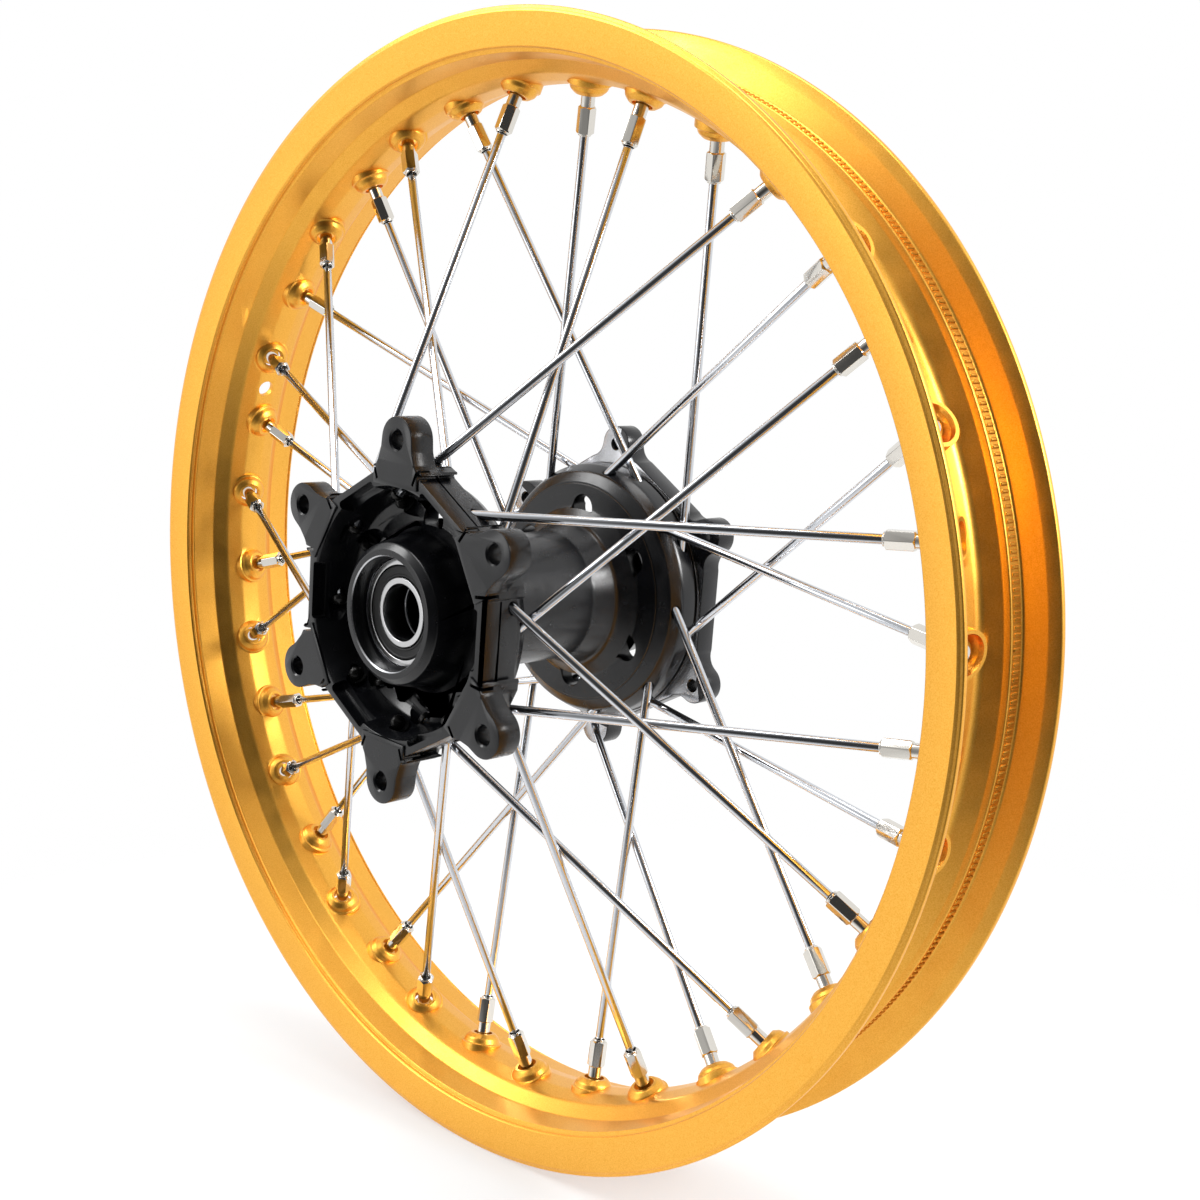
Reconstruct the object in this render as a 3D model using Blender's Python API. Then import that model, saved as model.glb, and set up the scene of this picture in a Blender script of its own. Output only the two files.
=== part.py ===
"""Spoked rear wheel of an off-road motorcycle: rim, hub, 36 straight-pull spokes and two sealed bearings.

The axle line is the Y axis, through the wheel's centre. -Y is the sprocket side, +Y the brake disc side.
Sizes are in metres. A section is a list of (y, radius) points, turned about the Y axis.
"""

from math import acos, cos, degrees, pi, radians, sin, tau

import bmesh
import bpy
from mathutils import Matrix, Vector

# Driving dimensions.
RIM_RADIUS = 0.2563
RIM_WIDTH = 0.0700
SPOKE_COUNT = 36
SPROCKET_LUG_CIRCLE = 0.0750
DISC_LUG_CIRCLE = 0.0700
LUG_COUNT = 6
BEARING_BORE = 0.0125
BEARING_RADIUS = 0.0235
BEARING_WIDTH = 0.0120

# How the wheel stands at rest, in degrees about the axle.
NIPPLE_PHASE = 80.4
LUG_PHASE = 24.15
VALVE_ANGLE = 155.4

# Rim.
WELL_RADIUS = 0.2292
NIPPLE_OFFSET = 0.0033
NIPPLE_SEAT = 0.0040
NIPPLE_HOLE = 0.0052
VALVE_HOLE = 0.0042

# Hub.
LUG_TIP = 0.0100
DISC_LUG_TIP = 0.0085
DISC_VALLEY = 0.0645
DISC_FILLET = 0.0080
LUG_BOLT_HOLE = 0.0042
DISC_BOLT_HOLE = 0.0026
LUG_FRONT, LUG_BACK = -0.0810, -0.0690
HEX_FRONT, HEX_BACK = -0.0800, -0.0600
HEX_APOTHEM = 0.0605
DISC_FRONT, DISC_BACK = 0.0512, 0.0623
CUP_RADIUS = 0.0550
HEX_HOLE, DISC_HOLE = 0.0573, 0.0582
WEB_CIRCLE = 0.0410
WEB_HOLE = 0.0062
SPROCKET_WEB, DISC_WEB = -0.0543, 0.0363
WEB_REACH = 0.0075
POCKET, POCKET_DEPTH = 0.0048, 0.0140
SHANK_HOLE, SHANK_REACH = 0.0026, 0.0340
LUG_REACH = 0.0100

# Bearings: where each one starts along the axle.
SPROCKET_BEARING = -0.0740
DISC_BEARING = 0.0460
GAP = 0.0003
RACE_INNER = 0.0154
RACE_OUTER = 0.0206
BALL_CIRCLE = 0.0180
BALL_RADIUS = 0.0028
BALL_COUNT = 9
CAGE_REACH, CAGE_WALL = 0.0030, 0.0006

# Spokes: each row is (name, first nipple, angle from nipple to head, head radius, head place along the axle).
SPOKE_RADIUS = 0.0020
SPOKE_HEAD = 0.0037
HEAD_LENGTH = 0.0034
NIPPLE_FLAT = 0.0035
NIPPLE_HEAD = 0.0048
ROWS = (
    ("disc", 0, 47.0, 0.0490, 0.0414),
    ("sprocket", 1, 48.0, 0.0517, -0.0683),
    ("disc", 2, -50.5, 0.0506, 0.0498),
    ("sprocket", 3, -41.8, 0.0493, -0.0597),
)


def clear_scene():
    for thing in list(bpy.data.objects):
        bpy.data.objects.remove(thing, do_unlink=True)


def material(name, color, roughness, metallic):
    made = bpy.data.materials.new(name)
    made.use_nodes = True
    shader = made.node_tree.nodes["Principled BSDF"]
    shader.inputs["Base Color"].default_value = (*color, 1.0)
    shader.inputs["Roughness"].default_value = roughness
    shader.inputs["Metallic"].default_value = metallic
    made.diffuse_color = (*color, 1.0)
    return made


def add_object(name, mesh, look=None):
    thing = bpy.data.objects.new(name, mesh)
    bpy.context.scene.collection.objects.link(thing)
    if look:
        mesh.materials.append(look)
    return thing


def finish_mesh(name, bm, smooth_angle=35.0):
    bmesh.ops.remove_doubles(bm, verts=bm.verts, dist=1e-6)
    bmesh.ops.recalc_face_normals(bm, faces=bm.faces)
    mesh = bpy.data.meshes.new(name)
    bm.to_mesh(mesh)
    bm.free()
    mesh.shade_smooth()
    mesh.set_sharp_from_angle(angle=radians(smooth_angle))
    return mesh


def polar(radius, angle, y=0.0):
    """The point at this radius and angle (degrees, from +X towards +Z) about the axle."""
    return Vector((radius * cos(radians(angle)), y, radius * sin(radians(angle))))


def turned(name, section, steps):
    """A closed section of (y, radius) points, spun once about the Y axis."""
    bm = bmesh.new()
    points = [bm.verts.new((radius, y, 0.0)) for y, radius in section]
    edges = [bm.edges.new((a, b)) for a, b in zip(points, points[1:] + points[:1])]
    bmesh.ops.spin(
        bm, geom=points + edges, axis=(0, 1, 0), cent=(0, 0, 0), angle=tau, steps=steps, use_merge=True
    )
    return finish_mesh(name, bm)


def lathed(name, section, steps):
    """A section of (z, radius) points from axis to axis, spun once about the Z axis."""
    bm = bmesh.new()
    points = [bm.verts.new((radius, 0.0, z)) for z, radius in section]
    edges = [bm.edges.new((a, b)) for a, b in zip(points, points[1:])]
    bmesh.ops.spin(
        bm, geom=points + edges, axis=(0, 0, 1), cent=(0, 0, 0), angle=tau, steps=steps, use_merge=True
    )
    return finish_mesh(name, bm)


def slab(name, outline, y0, y1, hole=None):
    """A plate: an outline of points across the axle, extruded from y0 to y1, open inside the hole's radius."""
    bm = bmesh.new()
    outer = [bm.verts.new((p.x, y0, p.z)) for p in outline]
    if hole:
        inner = [bm.verts.new((p.x, y0, p.z)) for p in (point.normalized() * hole for point in outline)]
        around = list(zip(outer, outer[1:] + outer[:1], inner[1:] + inner[:1], inner))
        faces = [bm.faces.new(corners) for corners in around]
    else:
        faces = [bm.faces.new(outer)]
    grown = bmesh.ops.extrude_face_region(bm, geom=faces)
    moved = [item for item in grown["geom"] if isinstance(item, bmesh.types.BMVert)]
    bmesh.ops.translate(bm, verts=moved, vec=(0, y1 - y0, 0))
    return finish_mesh(name, bm)


def along(start, direction):
    """The matrix that puts a piece made along +Z at start, pointing along direction."""
    turn = direction.to_track_quat("Z", "Y").to_matrix().to_4x4()
    return Matrix.Translation(start) @ turn


def helpers(name):
    group = bpy.data.collections.new(name)
    bpy.context.scene.collection.children.link(group)
    group.hide_render = True
    return group


def add_helper(group, mesh, matrix=None):
    thing = bpy.data.objects.new(mesh.name, mesh)
    group.objects.link(thing)
    thing.hide_render = True
    thing.display_type = "WIRE"
    if matrix:
        thing.matrix_world = matrix
    return thing


def combine(thing, group, operation):
    change = thing.modifiers.new(operation.lower(), "BOOLEAN")
    change.operation = operation
    change.operand_type = "COLLECTION"
    change.collection = group
    change.solver = "MANIFOLD"


def lug_angle(number):
    return LUG_PHASE + number * 360.0 / LUG_COUNT


class Spoke:
    """One spoke: its head on the hub, its nipple in the rim, and its direction."""

    def __init__(self, row, number):
        self.side, first, lead, head_radius, head_y = row
        self.angle = NIPPLE_PHASE + (first + len(ROWS) * number) * 360.0 / SPOKE_COUNT
        offset = NIPPLE_OFFSET if self.side == "disc" else -NIPPLE_OFFSET
        self.rim = polar(WELL_RADIUS - NIPPLE_SEAT, self.angle, offset)
        self.hub = polar(head_radius, self.angle + lead, head_y)
        self.length = (self.rim - self.hub).length
        self.direction = (self.rim - self.hub).normalized()
        self.matrix = along(self.hub, self.direction)


def all_spokes():
    return [Spoke(row, number) for row in ROWS for number in range(SPOKE_COUNT // len(ROWS))]


def spoke_mesh(name, length):
    """Domed head at 0, shank, then the nipple screwed on the far end, as one solid of hexagonal section."""
    section = [
        (-HEAD_LENGTH, 0.0),
        (-0.7 * HEAD_LENGTH, 0.8 * SPOKE_HEAD),
        (0.0, SPOKE_HEAD),
        (0.0, SPOKE_RADIUS),
        (length - 0.0178, SPOKE_RADIUS),
        (length - 0.0172, NIPPLE_FLAT),
        (length + 0.0056, NIPPLE_FLAT),
        (length + 0.0070, NIPPLE_HEAD),
        (length + 0.0090, NIPPLE_HEAD),
        (length + 0.0090, 0.0),
    ]
    return lathed(name, section, 6)


def make_spokes(steel):
    counts = {"disc": 0, "sprocket": 0}
    meshes = {}
    for spoke in sorted(all_spokes(), key=lambda each: each.angle % 360.0):
        counts[spoke.side] += 1
        key = round(spoke.length, 6)
        if key not in meshes:
            meshes[key] = spoke_mesh(f"spoke_{spoke.side}", spoke.length)
            meshes[key].materials.append(steel)
        thing = add_object(f"spoke_{spoke.side}_{counts[spoke.side]:02d}", meshes[key])
        thing.matrix_world = spoke.matrix


def rim_section():
    """Half of the rim's section from the drop centre out over the lip and back in to the well, mirrored."""
    half = RIM_WIDTH / 2
    lip = RIM_RADIUS
    side = [
        (0.0130, 0.2325),
        (0.0178, 0.2402),
        (0.0195, 0.2426),
        (0.0272, 0.2422),
        (0.0297, 0.2515),
        (0.0318, lip),
        (half - 0.0006, lip),
        (half, lip - 0.0030),
        (0.0329, 0.2402),
        (0.0300, 0.2380),
        (0.0190, 0.2368),
        (0.0120, 0.2318),
        (0.0045, WELL_RADIUS),
    ]
    return side + [(-y, radius) for y, radius in reversed(side)]


def make_rim(look):
    rim = add_object("rim", turned("rim", rim_section(), 48), look)
    holes = helpers("rim_holes")
    reach = RIM_RADIUS - WELL_RADIUS
    section = [(0.0, 0.0), (0.0, NIPPLE_HOLE), (reach, NIPPLE_HOLE), (reach, 0.0)]
    drill = lathed("nipple_drill", section, 6)
    for spoke in all_spokes():
        add_helper(holes, drill, spoke.matrix @ Matrix.Translation((0, 0, spoke.length)))
    valve = lathed("valve_drill", [(0.20, 0.0), (0.20, VALVE_HOLE), (0.26, VALVE_HOLE), (0.26, 0.0)], 10)
    add_helper(holes, valve, along(Vector(), polar(1.0, VALVE_ANGLE)))
    combine(rim, holes, "DIFFERENCE")


def hub_section():
    """Down the outside from the sprocket-side boss to the disc-side boss, and back through the bearing bore."""
    seat = BEARING_RADIUS + GAP
    left_in, left_out = SPROCKET_BEARING + BEARING_WIDTH + GAP, SPROCKET_BEARING - GAP
    right_in, right_out = DISC_BEARING - GAP, DISC_BEARING + BEARING_WIDTH + GAP
    sprocket_cup = [
        (-0.0818, 0.0254), (-0.0818, 0.0278), (-0.0790, 0.0310), (-0.0740, 0.0322), (-0.0620, 0.0345),
        (-0.0585, 0.0385), (-0.0585, 0.0460), (-0.0610, 0.0498),
        (HEX_FRONT, CUP_RADIUS), (HEX_FRONT, 0.0590),
    ]
    barrel = [
        (-0.0580, 0.0592), (-0.0525, 0.0560), (-0.0502, 0.0515), (-0.0500, 0.0410), (-0.0450, 0.0336),
        (-0.0340, 0.0300), (0.0140, 0.0300), (0.0265, 0.0336), (0.0320, 0.0410), (0.0322, 0.0510),
        (0.0350, 0.0564), (0.0420, 0.0604), (DISC_FRONT + 0.001, 0.0608),
    ]
    disc_cup = [
        (DISC_BACK - 0.001, 0.0600), (DISC_BACK - 0.001, 0.0560), (0.0430, 0.0500), (0.0405, 0.0465),
        (0.0405, 0.0385), (0.0440, 0.0343), (0.0600, 0.0322), (0.0650, 0.0300), (0.0660, 0.0278),
        (0.0660, 0.0254),
    ]
    bore = [
        (0.0655, 0.0250), (right_out, 0.0250), (right_out, seat), (right_in, seat), (right_in, 0.0210),
        (left_in, 0.0210), (left_in, seat), (left_out, seat), (left_out, 0.0250), (-0.0812, 0.0250),
    ]
    return sprocket_cup + barrel + disc_cup + bore


def arc(center, radius, start, end, steps):
    turn = [start + (end - start) * i / steps for i in range(steps + 1)]
    return [center + polar(radius, angle) for angle in turn]


def sprocket_lug(number):
    """A tapered lug with a round tip, rooted inside the hexagonal ring."""
    angle = lug_angle(number)
    root = [polar(0.0570, angle - 13.5), polar(0.0570, angle + 13.5)]
    return root[:1] + arc(polar(SPROCKET_LUG_CIRCLE, angle), LUG_TIP, angle - 84, angle + 84, 8) + root[1:]


def disc_outline():
    """Six round lugs joined by concave fillets to the ring between them."""
    reach = DISC_LUG_TIP + DISC_FILLET
    far = DISC_VALLEY + DISC_FILLET
    swing = degrees(acos((far**2 + DISC_LUG_CIRCLE**2 - reach**2) / (2 * far * DISC_LUG_CIRCLE)))
    points = []
    for number in range(LUG_COUNT):
        angle = lug_angle(number)
        lug = polar(DISC_LUG_CIRCLE, angle)
        for side in (-1, 1):
            hollow = polar(far, angle + side * swing)
            touch = lug - hollow
            facing = degrees(Vector((touch.x, touch.z)).angle_signed(Vector((1, 0))))
            inward = angle + side * swing + 180.0
            bend = (facing - inward + 180.0) % 360.0 - 180.0
            fillet = arc(hollow, DISC_FILLET, inward, inward + bend, 3)
            if side < 0:
                tip = facing + 180.0
                spread = (angle - tip + 180.0) % 360.0 - 180.0
                points += fillet + arc(lug, DISC_LUG_TIP, angle - spread, angle + spread, 6)[1:-1]
            else:
                points += fillet[::-1]
    return points


def hexagon_outline(steps=4):
    """The hexagon's corners, on the lugs' angles, with points between them along each side."""
    corner = HEX_APOTHEM / cos(pi / LUG_COUNT)
    corners = [polar(corner, lug_angle(number)) for number in range(LUG_COUNT + 1)]
    return [a.lerp(b, i / steps) for a, b in zip(corners, corners[1:]) for i in range(steps)]


def across(angle, radius, y, reach, bore):
    """A drill along the axle: a hole of this bore, centred at y and reaching this far both ways."""
    drill = lathed("drill", [(-reach, 0.0), (-reach, bore), (reach, bore), (reach, 0.0)], 8)
    return drill, along(polar(radius, angle, y), Vector((0, 1, 0)))


def drill_hub(holes):
    """Bolt holes in the lugs, lightening holes in both webs, and the holes and pockets of the spokes."""
    for number in range(LUG_COUNT):
        angle = lug_angle(number)
        for circle, y, bore in (
            (SPROCKET_LUG_CIRCLE, (LUG_FRONT + LUG_BACK) / 2, LUG_BOLT_HOLE),
            (DISC_LUG_CIRCLE, (DISC_FRONT + DISC_BACK) / 2, DISC_BOLT_HOLE),
        ):
            add_helper(holes, *across(angle, circle, y, LUG_REACH, bore))
        for y in (SPROCKET_WEB, DISC_WEB):
            add_helper(holes, *across(angle, WEB_CIRCLE, y, WEB_REACH, WEB_HOLE))
    pocket = [(-POCKET_DEPTH, 0.0), (-POCKET_DEPTH, POCKET), (0.0, POCKET), (0.0, 0.0)]
    shank = [(-GAP, 0.0), (-GAP, SHANK_HOLE), (SHANK_REACH, SHANK_HOLE), (SHANK_REACH, 0.0)]
    head_pocket = lathed("head_pocket", pocket, 6)
    shank_drill = lathed("shank_drill", shank, 5)
    for spoke in all_spokes():
        add_helper(holes, head_pocket, spoke.matrix)
        add_helper(holes, shank_drill, spoke.matrix)


def make_hub(look):
    """The turned hub, joined to its hexagon, lugs and disc ring, then drilled."""
    hub = add_object("hub_body", turned("hub_body", hub_section(), 36), look)
    extras, holes = helpers("hub_extras"), helpers("hub_holes")
    add_helper(extras, slab("hexagon", hexagon_outline(), HEX_FRONT + GAP, HEX_BACK, HEX_HOLE))
    add_helper(extras, slab("disc_ring", disc_outline(), DISC_FRONT, DISC_BACK, DISC_HOLE))
    for number in range(LUG_COUNT):
        add_helper(extras, slab("lug", sprocket_lug(number), LUG_FRONT, LUG_BACK))
    drill_hub(holes)
    combine(hub, extras, "UNION")
    combine(hub, holes, "DIFFERENCE")


def ring(name, inner, outer, y0, y1, look, steps=20):
    return add_object(name, turned(name, [(y0, inner), (y0, outer), (y1, outer), (y1, inner)], steps), look)


def groove(y, radius, depth):
    """The ball track of a race, centred at y: points along the race, depth being positive outwards."""
    half = 0.0031
    return [(y - half, radius), (y - half / 2, radius + depth), (y + half / 2, radius + depth), (y + half, radius)]


def make_bearing(side, start, steel, rubber, brass):
    """A sealed ball bearing: two races, a cage with its balls, and a rubber seal on each side."""
    end, middle = start + BEARING_WIDTH, start + BEARING_WIDTH / 2
    outer = [(start, RACE_OUTER), (start, BEARING_RADIUS), (end, BEARING_RADIUS), (end, RACE_OUTER)]
    inner = [(end, RACE_INNER), (end, BEARING_BORE), (start, BEARING_BORE), (start, RACE_INNER)]
    outer += groove(middle, RACE_OUTER, 0.0006)[::-1]
    inner += groove(middle, RACE_INNER, -0.0006)
    add_object(f"bearing_outer_race_{side}", turned("outer_race", outer, 20), steel)
    add_object(f"bearing_inner_race_{side}", turned("inner_race", inner, 20), steel)
    for name, y in (("outside", start + 0.0004), ("inside", end - 0.0012)):
        if side == "disc":
            name = "inside" if name == "outside" else "outside"
        ring(f"bearing_seal_{side}_{name}", RACE_INNER + GAP, RACE_OUTER - GAP, y, y + 0.0008, rubber)
    low, high = middle - CAGE_REACH, middle + CAGE_REACH
    near, far = BALL_CIRCLE - CAGE_WALL, BALL_CIRCLE + CAGE_WALL
    cage = [(low, near), (low, far), (high, far), (high, near)]
    balls = helpers(f"balls_{side}")
    cage = add_object(f"bearing_cage_{side}", turned("cage", cage, 18), brass)
    ball = bmesh.new()
    bmesh.ops.create_uvsphere(ball, u_segments=6, v_segments=3, radius=BALL_RADIUS)
    ball = finish_mesh("ball", ball, 80.0)
    for number in range(BALL_COUNT):
        place = polar(BALL_CIRCLE, number * 360.0 / BALL_COUNT, middle)
        add_helper(balls, ball, Matrix.Translation(place))
    combine(cage, balls, "UNION")


def main():
    clear_scene()
    gold = material("anodised_gold", (0.80, 0.36, 0.05), 0.35, 1.0)
    black = material("anodised_black", (0.012, 0.012, 0.014), 0.30, 0.6)
    steel = material("polished_steel", (0.75, 0.74, 0.72), 0.15, 1.0)
    rubber = material("seal_rubber", (0.015, 0.015, 0.015), 0.60, 0.0)
    brass = material("cage_steel", (0.50, 0.45, 0.35), 0.35, 1.0)
    grey = material("spacer_aluminium", (0.55, 0.55, 0.56), 0.35, 1.0)
    make_rim(gold)
    make_hub(black)
    make_spokes(steel)
    make_bearing("sprocket", SPROCKET_BEARING, steel, rubber, brass)
    make_bearing("disc", DISC_BEARING, steel, rubber, brass)
    ends = SPROCKET_BEARING + BEARING_WIDTH + GAP, DISC_BEARING - GAP
    ring("centre_spacer", BEARING_BORE, 0.0155, *ends, grey)


main()
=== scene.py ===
# %% [markdown]
# # A spoked off-road rear wheel
#
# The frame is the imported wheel: a rim, a hub, thirty-six spokes and two bearings, all in metres.
# The axle line is the Y axis. -Y is the sprocket side and +Y the brake disc side.
# Every piece below is drawn finer than its solid in the frame, in the same place, and stands for it.

# %% Load the frame
import math

import bpy
from mathutils import Matrix, Vector


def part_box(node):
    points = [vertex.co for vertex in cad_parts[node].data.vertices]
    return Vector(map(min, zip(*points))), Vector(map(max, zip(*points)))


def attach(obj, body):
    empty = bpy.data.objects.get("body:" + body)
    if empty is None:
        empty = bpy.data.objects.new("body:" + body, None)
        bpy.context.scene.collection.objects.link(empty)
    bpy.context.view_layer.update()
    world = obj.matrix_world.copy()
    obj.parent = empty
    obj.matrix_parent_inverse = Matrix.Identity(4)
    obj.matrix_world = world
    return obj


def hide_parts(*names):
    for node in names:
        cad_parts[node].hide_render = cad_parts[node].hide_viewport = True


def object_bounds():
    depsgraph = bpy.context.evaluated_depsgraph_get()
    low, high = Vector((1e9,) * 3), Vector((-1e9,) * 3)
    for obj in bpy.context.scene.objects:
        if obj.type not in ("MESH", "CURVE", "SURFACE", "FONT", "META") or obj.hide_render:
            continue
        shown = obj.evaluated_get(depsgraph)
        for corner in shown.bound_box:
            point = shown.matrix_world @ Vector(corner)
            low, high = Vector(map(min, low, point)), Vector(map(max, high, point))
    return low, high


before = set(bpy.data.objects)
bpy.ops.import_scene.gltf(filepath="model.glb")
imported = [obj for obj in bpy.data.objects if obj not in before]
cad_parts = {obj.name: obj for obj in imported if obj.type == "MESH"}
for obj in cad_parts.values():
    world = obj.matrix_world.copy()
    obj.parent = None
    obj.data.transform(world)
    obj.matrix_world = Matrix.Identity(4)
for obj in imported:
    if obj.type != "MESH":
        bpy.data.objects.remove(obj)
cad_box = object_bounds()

MM = 0.001
WELD = MM / 1000  # points closer than this are one point
rim_low, rim_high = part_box("rim")
print("rim radius", round(rim_high.x / MM, 1), "mm, width", round(2 * rim_high.y / MM, 1), "mm")

# %% [markdown]
# ## Finding places round the axle
#
# A wheel is drawn in polar steps: a radius, an angle from +X towards +Z, and a place along the axle.
# The lacing is the heart of it. Nipples sit every ten degrees, and every fourth one belongs to the same
# row: it leads to the same flange, at the same angle, so four rows of nine spokes make the wheel.

# %% Polar places
NIPPLES = 36
FIRST_NIPPLE = 80.4
LUGS = 6
LUG_PHASE = 24.15
BOSS_RADIUS = 225.2
NIPPLE_OFFSET = 3.3


def polar(radius, angle, along=0.0):
    """A place from millimetres and degrees."""
    turned = math.radians(angle)
    return Vector((radius * math.cos(turned), along, radius * math.sin(turned))) * MM


def pointing(start, direction):
    """The matrix that lays a piece made along +Z from start towards direction."""
    turned = direction.to_track_quat("Z", "Y").to_matrix().to_4x4()
    return Matrix.Translation(start) @ turned


# %% The lacing
# Side, first nipple, degrees from nipple to head, head radius and head place along the axle.
ROWS = (
    ("disc", 0, 47.0, 49.0, 41.4),
    ("sprocket", 1, 48.0, 51.7, -68.3),
    ("disc", 2, -50.5, 50.6, 49.8),
    ("sprocket", 3, -41.8, 49.3, -59.7),
)


def lace(row, number):
    """One spoke: its side, its nipple's angle, its head seat, its length and the matrix along it."""
    side, first, lead, head_radius, head_along = row
    angle = FIRST_NIPPLE + (first + len(ROWS) * number) * 360 / NIPPLES
    end = polar(BOSS_RADIUS, angle, NIPPLE_OFFSET if side == "disc" else -NIPPLE_OFFSET)
    head = polar(head_radius, angle + lead, head_along)
    return side, angle % 360, head, (end - head).length, pointing(head, end - head)


spokes = sorted((lace(row, n) for row in ROWS for n in range(NIPPLES // len(ROWS))), key=lambda s: s[1])
print(len(spokes), "spokes, from", round(min(s[3] for s in spokes) / MM, 1), "mm long")

# %% [markdown]
# ## Materials
#
# One small function adds a node, sets it and links it. Each finish then reads as a short list.
# Colours are picked as sRGB hex values, and one function turns them to the linear values of a shader.


# %% Colour and nodes
def linear(code):
    """An sRGB hex colour as linear RGBA."""
    parts = [int(code[i : i + 2], 16) / 255 for i in (1, 3, 5)]
    return [c / 12.92 if c <= 0.04045 else ((c + 0.055) / 1.055) ** 2.4 for c in parts] + [1.0]


def add(tree, kind, settings=None, **sockets):
    """A node of this kind. A socket's value is a number, a colour or another node's output."""
    node = tree.nodes.new(kind)
    for name, value in (settings or {}).items():
        setattr(node, name, value)
    for name, value in sockets.items():
        socket = node.inputs[name.replace("_", " ")]
        if isinstance(value, bpy.types.NodeSocket):
            tree.links.new(value, socket)
        else:
            socket.default_value = value
    return node


def finish(name, colour, metallic, roughness, **sockets):
    """A material whose shader has these plain values, and the tree and shader to build on."""
    made = bpy.data.materials.new(name)
    made.use_nodes = True
    made.diffuse_color = linear(colour)
    tree = made.node_tree
    tree.nodes.clear()
    plain = {"Base_Color": linear(colour), "Metallic": metallic, "Roughness": roughness}
    shader = add(tree, "ShaderNodeBsdfPrincipled", **plain, **sockets)
    add(tree, "ShaderNodeOutputMaterial", Surface=shader.outputs[0])
    return made, tree, shader


# %% [markdown]
# ### A grain that all the metals share
#
# Metal is told by its surface. Blasting leaves tiny pits, turning leaves rings, polishing leaves faint
# waves. Each is a noise on Object coordinates, sized in millimetres, that moves the roughness, the colour
# or the bump a little.


# %% Grain
# A Mix node has a socket of every data type, so the colour ones are found by number.
MIX_COLOUR_A, MIX_COLOUR_B, MIX_COLOUR_OUT = 6, 7, 2


def grain(tree, size_mm, detail=3.0, stretch=(1.0, 1.0, 1.0)):
    """Noise whose lumps are this wide, in the piece's own place."""
    place = add(tree, "ShaderNodeTexCoord")
    scaled = add(tree, "ShaderNodeMapping", Vector=place.outputs["Object"], Scale=stretch)
    noise = add(tree, "ShaderNodeTexNoise", Vector=scaled.outputs[0], Scale=1 / (size_mm * MM), Detail=detail)
    return noise.outputs[0]


def spread(tree, value, low, high, from_low=0.3, from_high=0.7):
    """The value's range, the noise's usual one if none is given, turned to low..high."""
    ranges = {"From_Min": from_low, "From_Max": from_high, "To_Min": low, "To_Max": high}
    return add(tree, "ShaderNodeMapRange", Value=value, **ranges).outputs[0]


def roughen(tree, shader, value, strength, distance_mm):
    """Bumps the shader's surface by the value."""
    bump = add(tree, "ShaderNodeBump", Height=value, Strength=strength, Distance=distance_mm * MM)
    tree.links.new(bump.outputs[0], shader.inputs["Normal"])


def tint(tree, shader, value, dark, light):
    """Lets the colour wander between two shades."""
    ramp = add(tree, "ShaderNodeMix", {"data_type": "RGBA"})
    tree.links.new(value, ramp.inputs["Factor"])
    ramp.inputs[MIX_COLOUR_A].default_value = linear(dark)
    ramp.inputs[MIX_COLOUR_B].default_value = linear(light)
    tree.links.new(ramp.outputs[MIX_COLOUR_OUT], shader.inputs["Base Color"])


# %% [markdown]
# ### Gold anodised aluminium, bead blasted
#
# The rim is blasted before it is dyed, so it is a soft satin gold with a fine sparkle and no mirror
# streaks. The real grit is about 0.1 mm. It is drawn at 0.5 mm so that it shows at this distance.

# %% Gold anodised
gold, tree, shader = finish("gold_anodised_aluminium_blasted", "#F4B149", 1.0, 0.40)
pits = grain(tree, 0.5, 2.0)
tint(tree, shader, spread(tree, pits, 0.0, 1.0), "#EAA63C", "#FBBE56")
tree.links.new(spread(tree, grain(tree, 14.0), 0.34, 0.42), shader.inputs["Roughness"])
roughen(tree, shader, pits, 0.25, 0.06)
print("made", gold.name)

# %% [markdown]
# ### Black anodised aluminium, machined
#
# The hub is cut from a forging and dyed black. The dye sits in a clear oxide layer, so it shines like a
# satin varnish, not like bare metal, with a faint unevenness about 0.35 mm across.

# %% Black anodised
black, tree, shader = finish("black_anodised_aluminium_satin", "#0C0D10", 0.0, 0.24, IOR=1.48)
tint(tree, shader, spread(tree, grain(tree, 9.0), 0.0, 1.0), "#08090B", "#101115")
tree.links.new(spread(tree, grain(tree, 6.0), 0.20, 0.28), shader.inputs["Roughness"])
roughen(tree, shader, grain(tree, 0.35, 2.0), 0.10, 0.03)
print("made", black.name)

# %% [markdown]
# ### The bright metals
#
# Stainless spokes are drawn through a die and polished, so their faint lines run along the wire. The
# nipples are nickel plated brass, a little warmer and smoother. Bearing rings are ground chrome steel.


# %% Bright metals
def bright(name, colour, low, high, size_mm, stretch=(1.0, 1.0, 1.0)):
    """A polished metal whose roughness wanders from low to high."""
    made, tree, shader = finish(name, colour, 1.0, low)
    lines = grain(tree, size_mm, 2.0, stretch)
    tree.links.new(spread(tree, lines, low, high), shader.inputs["Roughness"])
    roughen(tree, shader, lines, 0.05, 0.02)
    print("made", name)
    return made


stainless = bright("stainless_steel_drawn_polished", "#D3D6DB", 0.10, 0.18, 1.2)
nickel = bright("nickel_plated_brass_bright", "#DEDAD2", 0.07, 0.14, 0.9)
ground = bright("chrome_steel_ground", "#C9C9CA", 0.14, 0.26, 0.6, (1.0, 4.0, 1.0))
turned_bare = bright("aluminium_bare_turned", "#C4C5C8", 0.20, 0.34, 0.5, (1.0, 5.0, 1.0))
pressed = bright("steel_strip_pressed", "#9C978C", 0.28, 0.40, 1.5)

# %% [markdown]
# ### Black oxide and rubber
#
# The spoke heads are blackened with the hub round them, with a soft oily gloss. The bearing seals are
# moulded nitrile rubber on a steel disc: matt, with a fine bloom.

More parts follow.
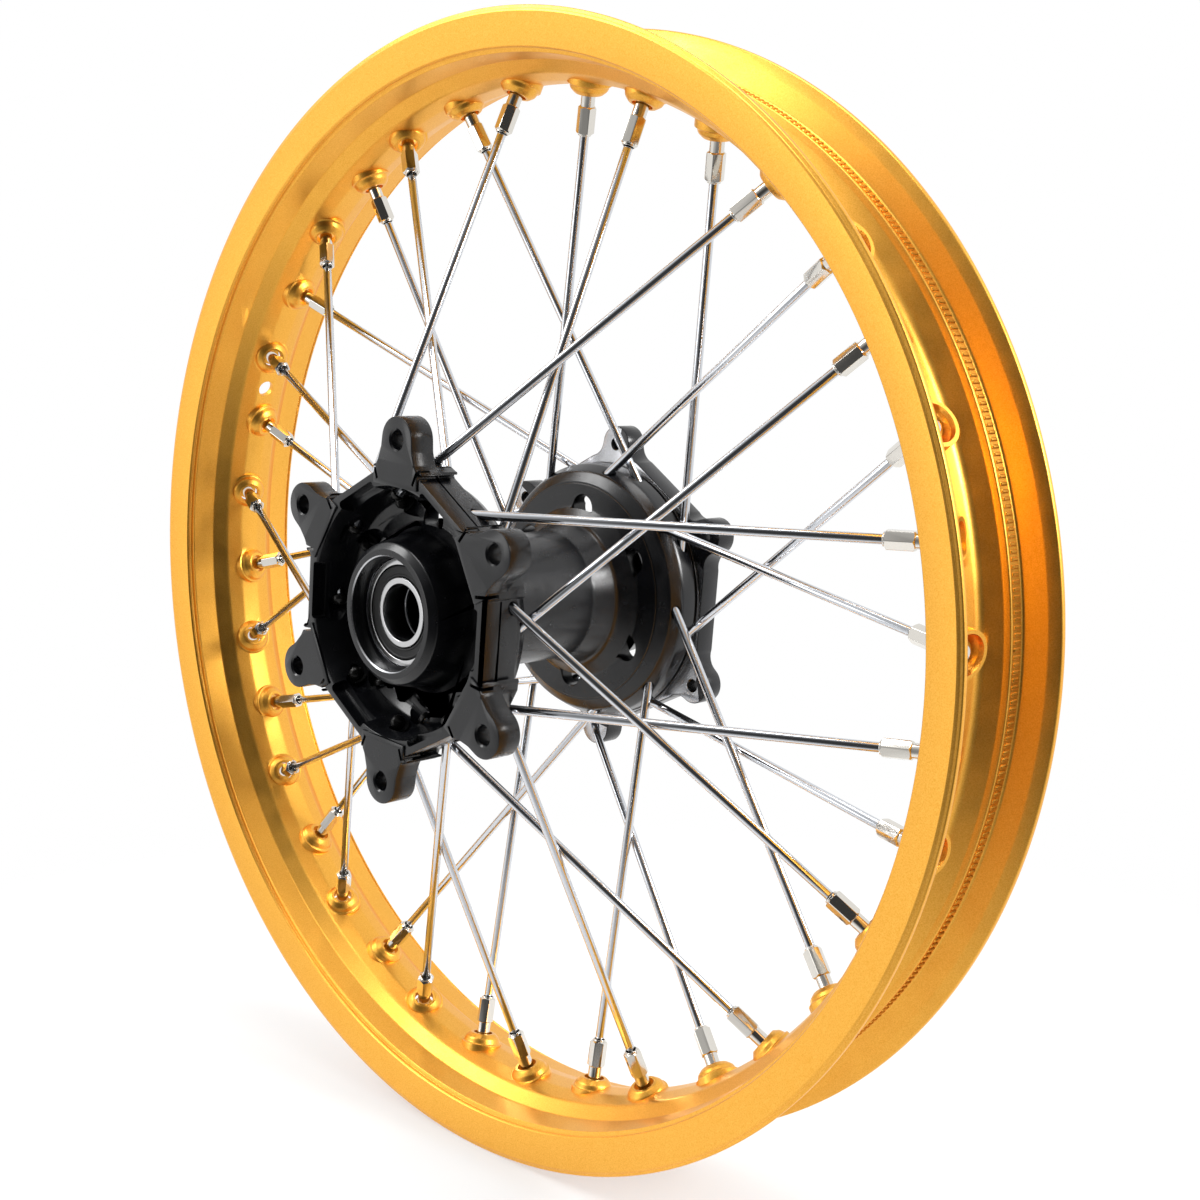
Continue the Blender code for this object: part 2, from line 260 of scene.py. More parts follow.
# %% Dark finishes
oxide, tree, shader = finish("steel_black_oxide", "#1D1C1B", 0.6, 0.28)
tree.links.new(spread(tree, grain(tree, 0.8), 0.22, 0.36), shader.inputs["Roughness"])
rubber, tree, shader = finish("nitrile_rubber_moulded", "#121213", 0.0, 0.58)
bloom = grain(tree, 0.7)
tint(tree, shader, spread(tree, bloom, 0.0, 1.0), "#0E0E0F", "#1B1B1C")
roughen(tree, shader, bloom, 0.20, 0.05)
print("made", oxide.name, "and", rubber.name)

# %% [markdown]
# ## Drawing a section and turning it
#
# Nearly everything on a wheel was made in a lathe or a mill. So a piece starts as one point, which is
# extruded from corner to corner to draw half a section, and then spun round its axis in edit mode.


# %% Draw
def clear():
    """Nothing is selected, so that the next operator acts only on what it is meant to."""
    bpy.ops.object.select_all(action="DESELECT")


def take(thing):
    """Selects this object alone and makes it active."""
    clear()
    thing.select_set(True)
    bpy.context.view_layer.objects.active = thing
    return thing


def draw(name, points):
    """A closed or open chain of edges, extruded from point to point, left in edit mode."""
    clear()
    bpy.ops.mesh.primitive_plane_add(size=MM)
    thing = bpy.context.object
    thing.name = thing.data.name = name
    bpy.ops.object.mode_set(mode="EDIT")
    bpy.ops.mesh.merge(type="CENTER")
    here = Vector()
    for number, point in enumerate(points):
        if number == 0:
            bpy.ops.transform.translate(value=point)
        else:
            bpy.ops.mesh.extrude_vertices_move(TRANSFORM_OT_translate={"value": point - here})
        here = point
    bpy.ops.mesh.select_all(action="SELECT")
    bpy.ops.mesh.remove_doubles(threshold=WELD)
    return thing


# %% [markdown]
# A corner of a machined part is never perfectly sharp. Each corner of a section says its own fillet, and
# this works out the points of the arc, so that the edges catch a thin line of light as the real ones do.


# %% Rounded corners
EDGE_SHARE = 0.48  # a fillet takes at most this share of each edge beside it


def rounded(corners, steps=4):
    """(along, radius[, fillet]) corners in millimetres as points, each fillet an arc of this many steps."""
    points = []
    for number, corner in enumerate(corners):
        here = Vector(corner[:2])
        if len(corner) < 3:
            points.append(here)
            continue
        back = Vector(corners[number - 1][:2]) - here
        on = Vector(corners[(number + 1) % len(corners)][:2]) - here
        half = back.angle(on) / 2
        reach = min(corner[2] / math.tan(half), EDGE_SHARE * back.length, EDGE_SHARE * on.length)
        size = reach * math.tan(half)
        middle = here + (back.normalized() + on.normalized()).normalized() * size / math.sin(half)
        start, end = here + back.normalized() * reach - middle, here + on.normalized() * reach - middle
        swing = start.angle(end)
        for step in range(steps + 1):
            part = step / steps
            mixed = start * math.sin((1 - part) * swing) + end * math.sin(part * swing)
            points.append(middle + mixed / math.sin(swing))
    return points


# %% Turn
def turn(name, corners, steps, axle=True, closed=True):
    """A section turned round the axle, or round +Z if axle is False. An open section ends on the axis."""
    section = rounded(corners)
    if axle:
        points = [Vector((radius, along, 0)) * MM for along, radius in section]
    else:
        points = [Vector((radius, 0, along)) * MM for along, radius in section]
    thing = draw(name, points + points[:1] if closed else points)
    axis = (0, 1, 0) if axle else (0, 0, 1)
    bpy.ops.mesh.spin(steps=steps, angle=math.tau, center=(0, 0, 0), axis=axis)
    bpy.ops.mesh.select_all(action="SELECT")
    bpy.ops.mesh.remove_doubles(threshold=WELD)
    bpy.ops.mesh.normals_make_consistent(inside=False)
    bpy.ops.object.mode_set(mode="OBJECT")
    return thing


# %% Copy, join and cut
def copy(thing, matrix, name=None):
    """A copy with its own mesh, moved by the matrix within it."""
    new = thing.copy()
    new.data = thing.data.copy()
    new.data.transform(matrix)
    new.name = new.data.name = name or thing.name
    bpy.context.scene.collection.objects.link(new)
    return new


def work(thing, tools, operation):
    """Joins the tools to the thing or cuts them from it, all at once, and then puts them away."""
    group = bpy.data.collections.new(operation)
    for tool in tools:
        group.objects.link(tool)
    change = thing.modifiers.new(operation, "BOOLEAN")
    change.operation = operation
    change.operand_type = "COLLECTION"
    change.collection = group
    change.solver = "MANIFOLD"
    take(thing)
    bpy.ops.object.modifier_apply(modifier=change.name)
    for tool in tools:
        bpy.data.objects.remove(tool)
    bpy.data.collections.remove(group)
    print(thing.name, operation.lower(), len(tools), "tools:", len(thing.data.polygons), "faces")


def dress(thing, *looks, angle=32):
    """Gives the piece its materials and smooth shading up to this angle between faces."""
    take(thing)
    thing.data.materials.clear()
    for look in looks:
        thing.data.materials.append(look)
    bpy.ops.object.shade_smooth_by_angle(angle=math.radians(angle))


def remove(*things):
    """Puts away a shape once its copies are made."""
    for thing in things:
        bpy.data.objects.remove(thing)


# %% [markdown]
# ## The rim
#
# An alloy rim is extruded as a straight bar, rolled to a hoop and welded. Its section has a lip and a
# bead seat on each side and a deep well between them. Half a section is drawn and mirrored, so that both
# sides are the same, and the whole is spun round the axle.

# %% Rim section
LIP = rim_high.x / MM
HALF_WIDTH = rim_high.y / MM
half_rim = [
    (0.0, 232.5),
    (12.4, 232.5, 5.0),
    (17.6, 240.2, 3.0),
    (18.6, 242.8, 0.8),
    (20.2, 242.8, 0.8),
    (21.0, 242.0, 0.5),
    (27.2, 242.2, 1.5),
    (29.6, 251.5, 6.0),
    (31.6, LIP, 1.2),
    (HALF_WIDTH - 1.0, LIP, 0.7),
    (HALF_WIDTH - 0.7, LIP - 1.5, 0.2),
    (HALF_WIDTH - 0.35, LIP - 1.7, 0.15),
    (HALF_WIDTH, LIP - 2.6, 0.3),
    (32.9, 240.0, 0.5),
    (31.9, 239.3, 0.3),
    (31.2, 240.1, 0.4),
    (30.2, 239.9, 0.3),
    (29.6, 238.0, 0.5),
    (18.4, 236.8, 1.6),
    (12.6, 231.6, 5.0),
    (5.0, 229.3, 8.0),
    (0.0, 229.2),
]
other_half = [(-corner[0], *corner[1:]) for corner in half_rim[-2:0:-1]]
RIM_STEPS = 360
rim = turn("rim_gold", half_rim + other_half, RIM_STEPS)
print("rim", len(rim.data.polygons), "faces")

# %% [markdown]
# ### Bosses and cups
#
# The rim is dimpled for each nipple: a punch pushes a cup in from the tyre side, and a boss stands up
# towards the hub. Each leans along its own spoke. One boss and one cutter are turned, and copied along
# the thirty-six spokes. Then all the bosses are joined and all the cups and holes cut in two steps.

# %% Boss and cup
boss = turn(
    "boss",
    [
        (0.0, 0.0), (0.0, 6.0, 1.2), (2.0, 8.2, 2.5), (4.2, 8.9, 1.0), (4.5, 9.9, 0.25), (10.5, 9.9),
        (10.5, 0.0),
    ],
    48, axle=False, closed=False,
)
cup = turn(
    "cup",
    [
        (-3.0, 0.0), (-3.0, 5.4), (0.0, 4.6, 0.5), (3.2, 4.6), (4.2, 5.9, 0.8), (8.2, 8.0, 2.0), (13.0, 8.6),
        (13.0, 0.0),
    ],
    48, axle=False, closed=False,
)
ends = [matrix @ Matrix.Translation((0, 0, length)) for _, _, _, length, matrix in spokes]
work(rim, [copy(boss, place) for place in ends], "UNION")
work(rim, [copy(cup, place) for place in ends], "DIFFERENCE")
remove(boss, cup)

# %% Valve hole
VALVE_ANGLE = 155.4
valve = turn(
    "valve",
    [(220.0, 0.0), (220.0, 5.2), (229.6, 4.2), (231.9, 4.2), (233.5, 5.0), (250.0, 5.0), (250.0, 0.0)],
    32, axle=False, closed=False,
)
work(rim, [copy(valve, pointing(Vector(), polar(1, VALVE_ANGLE)))], "DIFFERENCE")
remove(valve)
dress(rim, gold)
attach(rim, "wheel")
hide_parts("rim")

# %% [markdown]
# ### The knurled bead seats
#
# A band of fine notches across each bead seat keeps the tyre from creeping round the rim. One tooth is
# a cube with a bevelled top. It is spun round the axle with its copies kept, so that it stays a few
# faces each.

# %% Knurl
KNURLS = 540
KNURL_RADIUS, KNURL_ALONG = 242.0, 23.6
KNURL_SIZE = (1.6, 4.6, 1.5)
for side in (-1, 1):
    clear()
    bpy.ops.mesh.primitive_cube_add(size=MM)
    knurl = bpy.context.object
    knurl.name = knurl.data.name = "rim_knurl_sprocket" if side < 0 else "rim_knurl_disc"
    bpy.ops.object.mode_set(mode="EDIT")
    bpy.ops.transform.resize(value=KNURL_SIZE)
    bpy.ops.mesh.bevel(offset=0.35 * MM, segments=1, affect="EDGES")
    bpy.ops.transform.translate(value=Vector((KNURL_RADIUS, side * KNURL_ALONG, 0)) * MM)
    bpy.ops.mesh.spin(steps=KNURLS, angle=math.tau, center=(0, 0, 0), axis=(0, 1, 0), dupli=True)
    bpy.ops.mesh.select_all(action="SELECT")
    bpy.ops.mesh.normals_make_consistent(inside=False)
    bpy.ops.object.mode_set(mode="OBJECT")
    dress(knurl, gold)
    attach(knurl, "wheel")
    print(knurl.name, len(knurl.data.polygons), "faces")

# %% [markdown]
# ## The spokes
#
# A straight-pull spoke is a drawn wire with a domed head. The head sits in a pocket of the hub, and the
# far end is threaded into the nipple. Each spoke is drawn to its own length, and its domed end has a
# finish of its own.

# %% Spokes
WIRE = 2.0
HEAD = 3.7
THREAD = 1.7


def make_spoke(name, length):
    """A wire of this length along +Z, with its head at the origin."""
    reach = length / MM
    head = [(-3.4, 0.0), (-3.4, 0.6, 0.4), (-2.2, 3.0, 1.4), (0.0, HEAD, 0.5), (0.0, 2.4, 0.2)]
    shank = [(1.2, WIRE, 0.3), (reach - 14.0, WIRE), (reach - 13.6, THREAD), (reach - 13.6, 0.0)]
    wire = turn(name, head + shank, 20, axle=False, closed=False)
    dress(wire, stainless, oxide, angle=40)
    for face in wire.data.polygons:
        face.material_index = 1 if face.center.z < 0 else 0
    return wire


counts = {"disc": 0, "sprocket": 0}
for side, _, _, length, matrix in spokes:
    counts[side] += 1
    node = f"spoke_{side}_{counts[side]:02d}"
    wire = make_spoke(f"{node}_wire", length)
    wire.data.transform(matrix)
    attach(wire, "wheel")
    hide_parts(node)
print(counts, "spokes")

# %% [markdown]
# ## The nipples
#
# A nipple is a little nut: a hexagon for the key, a round neck through the rim, and a slotted head in
# the cup. A six-sided cylinder is bevelled and then met with a turned shape, which cuts the curved
# chamfers that a real hexagon has where the lathe took off its corners.

# %% One nipple
FLAT = 3.6
HEX_START, HEX_END = -17.2, -5.2
HEAD_TOP = 8.9
clear()
bpy.ops.mesh.primitive_cylinder_add(
    vertices=6, radius=FLAT / math.cos(math.pi / 6) * MM, depth=(HEX_END - HEX_START) * MM,
    location=(0, 0, (HEX_START + HEX_END) / 2 * MM),
)
nipple = bpy.context.object
nipple.name = nipple.data.name = "nipple"
bpy.ops.object.transform_apply()
bpy.ops.object.mode_set(mode="EDIT")
bpy.ops.mesh.select_all(action="SELECT")
bpy.ops.mesh.bevel(offset=0.25 * MM, segments=2, affect="EDGES")
bpy.ops.object.mode_set(mode="OBJECT")
blank = turn(
    "blank",
    [
        (HEX_START, 0.0), (HEX_START, 3.2, 0.3), (HEX_START + 0.9, 4.3), (HEX_END - 0.9, 4.3), (HEX_END, 3.3),
        (HEX_END, 0.0),
    ],
    48, axle=False, closed=False,
)
work(nipple, [blank], "INTERSECT")

# %% Neck, head, bore and slot
neck = turn(
    "neck",
    [
        (HEX_END - 1.0, 0.0), (HEX_END - 1.0, 3.1), (4.6, 3.1, 0.4), (6.4, 4.8, 0.3), (7.6, 4.8, 0.8),
        (HEAD_TOP, 3.2, 1.4), (HEAD_TOP, 0.0),
    ],
    40, axle=False, closed=False,
)
collar = turn(
    "collar",
    [(HEX_START - 0.7, 0.0), (HEX_START - 0.7, 2.95, 0.25), (HEX_START + 1.0, 2.95), (HEX_START + 1.0, 0.0)],
    40, axle=False, closed=False,
)
work(nipple, [neck, collar], "UNION")
bore = turn(
    "bore",
    [(HEX_START - 2.0, 0.0), (HEX_START - 2.0, 2.45), (HEX_START + 2.6, 2.35), (HEX_START + 2.6, 0.0)],
    32, axle=False, closed=False,
)
clear()
bpy.ops.mesh.primitive_cube_add(size=MM, location=(0, 0, HEAD_TOP * MM))
slot = bpy.context.object
bpy.ops.object.mode_set(mode="EDIT")
bpy.ops.transform.resize(value=(1.5, 14.0, 3.2))
bpy.ops.object.mode_set(mode="OBJECT")
bpy.ops.object.transform_apply()
work(nipple, [bore, slot], "DIFFERENCE")
dress(nipple, nickel, angle=28)

# %% Thirty-six nipples
NIPPLE_TURN = 47  # each nipple stops at a turn of its own, so that no two look alike
for number, (_, _, _, length, matrix) in enumerate(spokes, 1):
    spun = Matrix.Rotation(math.radians(NIPPLE_TURN * number), 4, "Z")
    one = copy(nipple, matrix @ Matrix.Translation((0, 0, length)) @ spun, f"nipple_{number:02d}")
    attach(one, "wheel")
remove(nipple)
print(number, "nipples")

# %% [markdown]
# ## The hub
#
# The hub is turned from a forging: a smooth barrel, a bowl on the sprocket side with a boss standing in
# it for the bearing, and a bell on the disc side. The lug rings are milled. So the turned shape comes
# first, then the rings are joined to it, and every hole and pocket is cut last.

# %% Turned hub
BARREL = 30.0
SEAT = 23.8
sprocket_bowl = [
    (-81.3, 25.0), (-81.8, 25.5), (-81.8, 28.0, 0.8), (-79.4, 31.0, 2.2), (-74.0, 32.2, 4.0),
    (-62.0, 34.4, 5.0), (-58.5, 38.5, 3.0), (-58.5, 46.0, 3.0), (-62.0, 50.2, 4.0), (-79.6, 55.0, 0.4),
    (-80.0, 56.0, 0.3), (-80.0, 58.6, 0.3),
]
barrel = [
    (-58.5, 59.2, 2.5), (-53.0, 56.2, 4.0), (-50.3, 51.5, 2.0), (-50.0, 41.0, 4.0), (-45.0, 33.4, 6.0),
    (-34.0, BARREL, 9.0), (14.0, BARREL, 9.0), (26.5, 33.4, 7.0), (32.0, 41.0, 4.0), (32.0, 51.3, 0.25),
    (32.5, 51.6, 0.1), (32.5, 52.3, 0.2), (35.2, 57.2, 3.5), (41.0, 60.4, 5.0), (48.6, 60.8, 0.3),
    (48.8, 59.9, 0.1), (49.8, 59.9, 0.1), (50.0, 61.0, 0.25), (52.2, 61.0),
]
disc_bowl = [
    (61.3, 60.4), (61.3, 56.0, 0.5), (43.0, 50.0, 4.0), (40.5, 46.5, 2.0), (40.5, 38.5, 2.0),
    (44.0, 34.3, 4.0), (60.0, 32.2, 4.0), (65.0, 30.4, 2.0), (66.0, 27.8, 0.8), (66.0, 25.5), (65.5, 25.0),
]
bearing_seats = [
    (58.3, 25.0), (58.3, SEAT), (45.7, SEAT), (45.7, 21.0), (-61.7, 21.0), (-61.7, SEAT), (-74.3, SEAT),
    (-74.3, 25.0),
]
HUB_STEPS = 180
hub = turn("hub_black", sprocket_bowl + barrel + disc_bowl + bearing_seats, HUB_STEPS)
print("hub", len(hub.data.polygons), "faces")

# %% [markdown]
# ### Plates with bevelled edges
#
# A lug ring is a plate with an outline. The outline is drawn in the same way as a section, filled,
# extruded along the axle and bevelled round its edges. A cutter with a bevel of 0 keeps its edges sharp.


# %% Plate
def plate(name, outline, start, end, bevel=0.5):
    """An outline of places round the axle, as a plate from start to end with bevelled edges."""
    thing = draw(name, outline + outline[:1])
    bpy.ops.transform.translate(value=(0, start * MM, 0))
    bpy.ops.mesh.edge_face_add()
    bpy.ops.mesh.extrude_region_move(TRANSFORM_OT_translate={"value": (0, (end - start) * MM, 0)})
    bpy.ops.mesh.select_all(action="SELECT")
    bpy.ops.mesh.normals_make_consistent(inside=False)
    bpy.ops.object.mode_set(mode="OBJECT")
    flat = {round(start * MM, 6), round(end * MM, 6)}
    for edge in thing.data.edges:
        heights = {round(thing.data.vertices[v].co.y, 6) for v in edge.vertices}
        edge.select = len(heights) == 1 and heights <= flat
    for face in thing.data.polygons:
        face.select = False
    bpy.ops.object.mode_set(mode="EDIT")
    bpy.ops.mesh.select_mode(type="EDGE")
    if bevel:
        bpy.ops.mesh.bevel(offset=bevel * MM, segments=2, affect="EDGES")
    bpy.ops.mesh.select_mode(type="VERT")
    bpy.ops.object.mode_set(mode="OBJECT")
    return thing


def outline(corners, angle):
    """(radial, sideways[, fillet]) corners in millimetres as places, turned to this angle."""
    turned = math.radians(angle)
    places = []
    for out, side in rounded(corners, steps=5):
        x = out * math.cos(turned) - side * math.sin(turned)
        z = out * math.sin(turned) + side * math.cos(turned)
        places.append(Vector((x, 0, z)) * MM)
    return places


# %% [markdown]
# ### The sprocket carrier
#
# Six flat bars make a hexagon round the bowl, and a rounded lug stands at each corner. Steps beside the
# lugs leave the bars thinner, and a slit runs along each bar.


# %% Arc
def arc(centre, radius, start, end, steps):
    """Places on an arc about a centre, from one angle to another."""
    return [centre + polar(radius, start + (end - start) * step / steps) for step in range(steps + 1)]


# %% Sprocket ring and lugs
LUG_CIRCLE, LUG_TIP, LUG_SWEEP = 75.0, 10.0, 84
lug_angles = [LUG_PHASE + 360 / LUGS * number for number in range(LUGS)]
bar_angles = [angle + 180 / LUGS for angle in lug_angles]
shoulder = [(62.6, -16.2, 0.8), (64.6, -12.0, 2.0), (65.2, 0.0), (64.6, 12.0, 2.0), (62.6, 16.2, 0.8)]
bar = [(61.0, -19.4, 0.8), (59.4, -17.4, 1.2), (59.4, 17.4, 1.2), (61.0, 19.4, 0.8)]
ring_outline = []
for angle in lug_angles:
    ring_outline += outline([(60.0, -16.4), *shoulder, (60.0, 16.4)], angle)[1:-1]
    ring_outline += outline([(64.0, -20.4), *bar, (64.0, 20.4)], angle + 180 / LUGS)[1:-1]
carrier = plate("carrier", ring_outline, -80.0, -60.0)


def make_lug(angle):
    """One lug: a round tip on its hole, and flanks that flare into the ring."""
    flare = [(55.0, 14.6), (61.6, 14.6, 0.5), (65.4, 12.2, 4.0), (71.0, 10.4)]
    root = [(out, -side, *rest) for out, side, *rest in flare]
    tip = arc(polar(LUG_CIRCLE, angle), LUG_TIP, angle - LUG_SWEEP, angle + LUG_SWEEP, 18)
    start = outline([(50.0, 0.0), *root, (80.0, 0.0)], angle)[1:-1]
    back = outline([(80.0, 0.0), *flare[::-1], (50.0, 0.0)], angle)[1:-1]
    return plate("lug", start + tip + back, -81.0, -69.0)


lugs = [make_lug(angle) for angle in lug_angles]
print("sprocket carrier and", len(lugs), "lugs")

# %% [markdown]
# ### The disc ring
#
# The brake disc bolts to six smaller lugs. They run into each other in concave curves, so the outline is
# a wave: a convex arc round each hole, and two concave arcs beside it.

# %% Disc ring
DISC_CIRCLE, DISC_TIP, DISC_VALLEY, DISC_HOLLOW = 70.0, 8.5, 64.5, 8.0


def wave():
    """The disc ring's outline."""
    far = DISC_VALLEY + DISC_HOLLOW
    reach = DISC_TIP + DISC_HOLLOW
    swing = math.degrees(math.acos((far**2 + DISC_CIRCLE**2 - reach**2) / (2 * far * DISC_CIRCLE)))
    places = []
    for angle in lug_angles:
        lug = polar(DISC_CIRCLE, angle)
        for side in (-1, 1):
            hollow = polar(far, angle + side * swing)
            touch = lug - hollow
            facing = math.degrees(math.atan2(touch.z, touch.x))
            inward = angle + side * swing + 180
            bend = (facing - inward + 180) % 360 - 180
            fillet = arc(hollow, DISC_HOLLOW, inward, inward + bend, 6)
            opening = (angle - facing) % 360 - 180
            if side < 0:
                places += fillet + arc(lug, DISC_TIP, angle - opening, angle + opening, 16)[1:-1]
            else:
                places += fillet[::-1]
    return places


disc_ring = plate("disc_ring", wave(), 51.6, 62.3)
for part, inner, start, end in ((carrier, 57.0, -82.0, -58.0), (disc_ring, 58.4, 50.0, 64.0)):
    corners = [(start, 0.0), (start, inner), (end, inner), (end, 0.0)]
    work(part, [turn("ring_hole", corners, 90, closed=False)], "DIFFERENCE")
work(hub, [carrier, disc_ring, *lugs], "UNION")

# %% [markdown]
# ### Holes, pockets and slits
#
# Every drill is a turned shape with a countersink at each end, so that a hole's rim catches the light.
# Each spoke has its own drill, laid along it: a wide pocket for the head, then a fine hole for the wire.
# The fine hole leaves the bell at a slant, which gives the long oval exits.


# %% Drills
def drill(radius, depth, sink=0.7, segments=40):
    """A countersunk drill that runs from 0 to this depth."""
    wide = radius + sink + 1.0
    near = [(-1.0, 0.0), (-1.0, wide), (sink, radius)]
    corners = near + [(depth - along, out) for along, out in near[::-1]]
    return turn("drill", corners, segments, axle=False, closed=False)


def along_axle(radius, angle, start):
    """The matrix that lays a drill along the axle's direction at this place."""
    return pointing(polar(radius, angle, start), Vector((0, 1, 0)))


tools = []
drills = (
    (drill(4.2, 12.0), LUG_CIRCLE, -81.0),
    (drill(2.6, 10.7, 0.6, 28), DISC_CIRCLE, 51.6),
    (drill(6.2, 8.5, 0.5), 39.6, -58.5),
    (drill(6.0, 8.5, 0.5), 40.2, 32.0),
)
for shape, circle, start in drills:
    tools += [copy(shape, along_axle(circle, angle, start)) for angle in lug_angles]
    remove(shape)
pocket = turn(
    "pocket",
    [(-18.0, 0.0), (-18.0, 5.2), (-0.6, 5.2, 0.6), (-0.1, 2.55, 0.2), (34.0, 2.55), (34.0, 0.0)],
    32, axle=False, closed=False,
)
tools += [copy(pocket, matrix) for _, _, _, _, matrix in spokes]
remove(pocket)

# %% Slits, ledges and notches of the bars
slit = [(57.9, -20.0), (60.4, -20.0), (60.4, 20.0), (57.9, 20.0)]
ledge = [(50.0, -13.0), (56.4, -13.0, 1.6), (56.4, 13.0, 1.6), (50.0, 13.0)]
notch = [(55.4, 17.6), (63.0, 18.4), (63.0, 20.0), (55.4, 19.0)]
for angle in bar_angles:
    tools.append(plate("slit", outline(slit, angle), -70.6, -69.6, 0))
    tools.append(plate("ledge", outline(ledge, angle), -84.0, -73.0))
    for side in (-1, 1):
        turned = [(out, side * across) for out, across in notch][::side]
        tools.append(plate("notch", outline(turned, angle), -84.0, -74.0, 0))
work(hub, tools, "DIFFERENCE")

# %% Bare metal at the bearing seats
dress(hub, black, turned_bare, angle=28)
for face in hub.data.polygons:
    radius = math.hypot(face.center.x, face.center.z) / MM
    face.material_index = 1 if 25.02 < radius < 25.49 or radius < SEAT + 0.1 else 0
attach(hub, "wheel")
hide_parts("hub_body")
print("hub", len(hub.data.polygons), "faces")

# %% [markdown]
# ## The bearings
#
# Each end of the hub holds a sealed ball bearing of 25 x 47 x 12 mm. Its outer ring turns with the hub,
# and its inner ring stays still on the axle. A rubber seal closes each side. The cage and its balls are
# behind the seals, so the solids of the frame stay and only take a finish.

# %% Rings and seals
RING_WIDTH = 12.0
RING_STEPS = 120
outer_ring = [
    (0.0, 20.8, 0.3), (0.0, 23.5, 0.5), (RING_WIDTH, 23.5, 0.5), (RING_WIDTH, 20.8, 0.3), (9.1, 20.6),
    (7.5, 21.2, 0.8), (4.5, 21.2, 0.8), (2.9, 20.6),
]
inner_ring = [
    (0.0, 12.5, 0.4), (0.0, 15.2, 0.3), (2.9, 15.4), (4.5, 14.8, 0.8), (7.5, 14.8, 0.8), (9.1, 15.4),
    (RING_WIDTH, 15.2, 0.3), (RING_WIDTH, 12.5, 0.4),
]
seal = [
    (0.55, 15.75, 0.1), (0.35, 16.5, 0.2), (0.65, 16.9, 0.1), (0.65, 19.3, 0.1), (0.35, 19.7, 0.2),
    (0.55, 20.3, 0.1), (1.2, 20.3), (1.2, 15.75),
]


def placed(section, start, flip):
    """A section moved along the axle, or turned end for end as well."""
    return [(start + (RING_WIDTH - along if flip else along), *rest) for along, *rest in section]


def ring(name, section, look, body, node):
    """A turned ring that rides on the body and stands for the node."""
    piece = turn(name, section, RING_STEPS)
    dress(piece, look, angle=35)
    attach(piece, body)
    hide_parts(node)


for side, flip in (("sprocket", False), ("disc", True)):
    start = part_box(f"bearing_outer_race_{side}")[0].y / MM
    for kind, section, body, node in (
        ("outer", outer_ring, "wheel", f"bearing_outer_race_{side}"),
        ("inner", inner_ring, "axle_set", f"bearing_inner_race_{side}"),
    ):
        ring(f"bearing_{side}_{kind}_ring", placed(section, start, flip), ground, body, node)
    for where, turned_over in (("outside", flip), ("inside", not flip)):
        node = f"bearing_seal_{side}_{where}"
        section = placed(seal, start, turned_over)
        ring(f"bearing_{side}_seal_{where}", section, rubber, "wheel", node)
    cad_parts[f"bearing_cage_{side}"].material_slots[0].material = pressed
print("two bearings")

# %% [markdown]
# ### The spacer between the bearings
#
# A plain tube keeps the two inner rings apart when the axle nut is done up. Only its end shows, inside
# the bearing.

# %% Spacer
start, end = (corner.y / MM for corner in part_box("centre_spacer"))
tube = [(start, 12.5, 0.5), (start, 15.5, 0.5), (end, 15.5, 0.5), (end, 12.5, 0.5)]
ring("spacer_tube", tube, turned_bare, "axle_set", "centre_spacer")
print("spacer", round(end - start, 1), "mm long")

# %% [markdown]
# ## Floor, light and camera
#
# The wheel stands on a plain white floor that fades out round it. Satin metal only shows its shape by
# what it reflects, so the studio is a bright tent with one darker side behind the camera, and four large
# soft lamps give the long highlights. The camera looks at the sprocket side from the right, a little
# from above.

# %% Floor
clear()
FLOOR_GAP = 0.2 * MM
bpy.ops.mesh.primitive_circle_add(
    vertices=96, radius=0.9, fill_type="NGON", location=(0, 0, cad_box[0].z - FLOOR_GAP)
)
floor = bpy.context.object
floor.name = "floor"
white, tree, shader = finish("paper_matt_white", "#F7F7F7", 0.0, 0.85)
tree.links.new(spread(tree, grain(tree, 30.0), 0.80, 0.90), shader.inputs["Roughness"])
place = add(tree, "ShaderNodeTexCoord")
reach = add(tree, "ShaderNodeVectorMath", {"operation": "LENGTH"})
tree.links.new(place.outputs["Object"], reach.inputs[0])
fade = spread(tree, reach.outputs["Value"], 0.45, 0.0, 0.05, 0.55)
tree.links.new(fade, shader.inputs["Alpha"])
floor.data.materials.append(white)
print("floor", tuple(floor.dimensions))

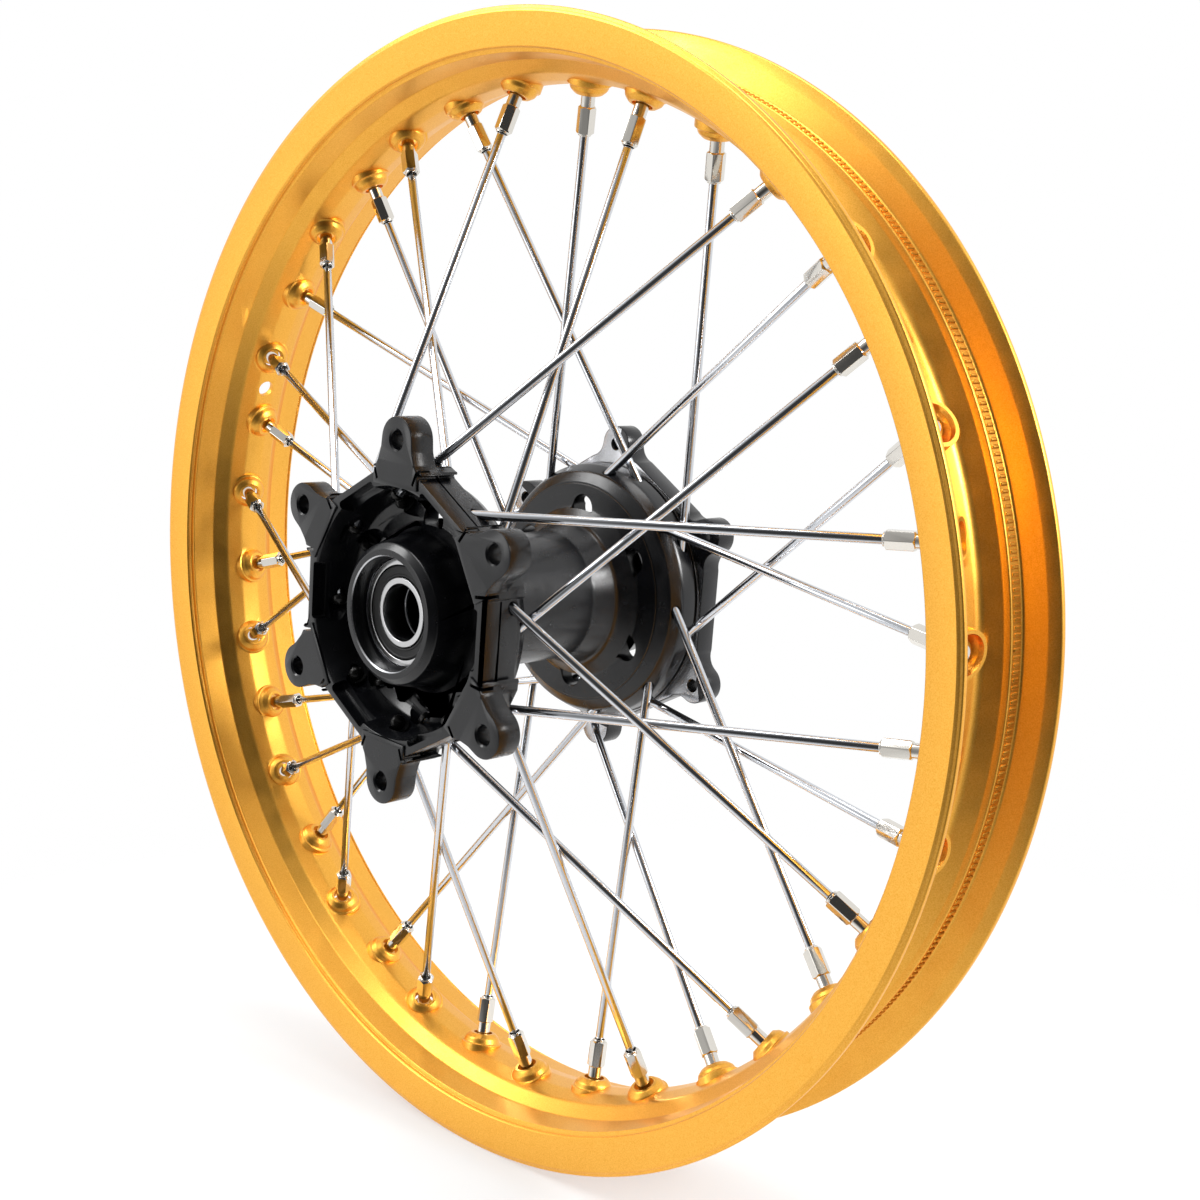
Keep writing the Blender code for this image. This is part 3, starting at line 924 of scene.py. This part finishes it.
# %% Studio
world = bpy.data.worlds.new("tent")
bpy.context.scene.world = world
world.use_nodes = True
tree = world.node_tree
tree.nodes.clear()
facing = add(tree, "ShaderNodeTexCoord")
away = add(tree, "ShaderNodeVectorMath", {"operation": "DOT_PRODUCT"})
tree.links.new(facing.outputs["Generated"], away.inputs[0])
DARK_SIDE = (0.70, -0.70, 0.10)
away.inputs[1].default_value = DARK_SIDE
tent = spread(tree, away.outputs["Value"], 1.0, 0.05, 0.20, 0.85)
seen = add(tree, "ShaderNodeLightPath")
bright_side = add(tree, "ShaderNodeMix", {"data_type": "FLOAT"})
tree.links.new(seen.outputs["Is Camera Ray"], bright_side.inputs[0])
tree.links.new(tent, bright_side.inputs[2])
bright_side.inputs[3].default_value = 1.0
sky = add(tree, "ShaderNodeBackground", Color=(1.0, 1.0, 1.0, 1.0), Strength=bright_side.outputs[0])
add(tree, "ShaderNodeOutputWorld", Surface=sky.outputs[0])


def lamp(name, place, size, power):
    """A round area lamp of this width in metres and power in watts that faces the wheel's centre."""
    light = bpy.data.lights.new(name, "AREA")
    light.shape = "DISK"
    light.size = size
    light.energy = power
    thing = bpy.data.objects.new(name, light)
    turned = (-Vector(place)).to_track_quat("-Z", "Y").to_matrix().to_4x4()
    thing.matrix_world = Matrix.Translation(place) @ turned
    bpy.context.scene.collection.objects.link(thing)


lamp("key", (-1.3, -1.2, 1.6), 1.0, 21)
lamp("front", (-0.9, -1.7, 0.2), 0.8, 3.5)
lamp("fill", (1.7, 0.7, 0.8), 0.8, 36)
lamp("top", (0.1, -0.2, 2.2), 1.2, 20)
print("a tent and four lamps")

# %% Camera
camera = bpy.data.cameras.new("camera")
camera.sensor_width = 36.0
camera.lens = 49.53
camera.clip_start = 0.01
eye = bpy.data.objects.new("camera", camera)
right = Vector((0.70924, 0.70495, 0.0)).normalized()
forward = Vector((-0.69903, 0.70332, -0.1292)).normalized()
up = right.cross(forward)
turned = Matrix((right, up, -forward)).transposed().to_4x4()
eye.matrix_world = Matrix.Translation((0.5588, -0.5142, 0.0975)) @ turned
bpy.context.scene.collection.objects.link(eye)
bpy.context.scene.camera = eye
bpy.context.scene.view_settings.view_transform = "Standard"
print("camera", round(camera.lens, 1), "mm lens")
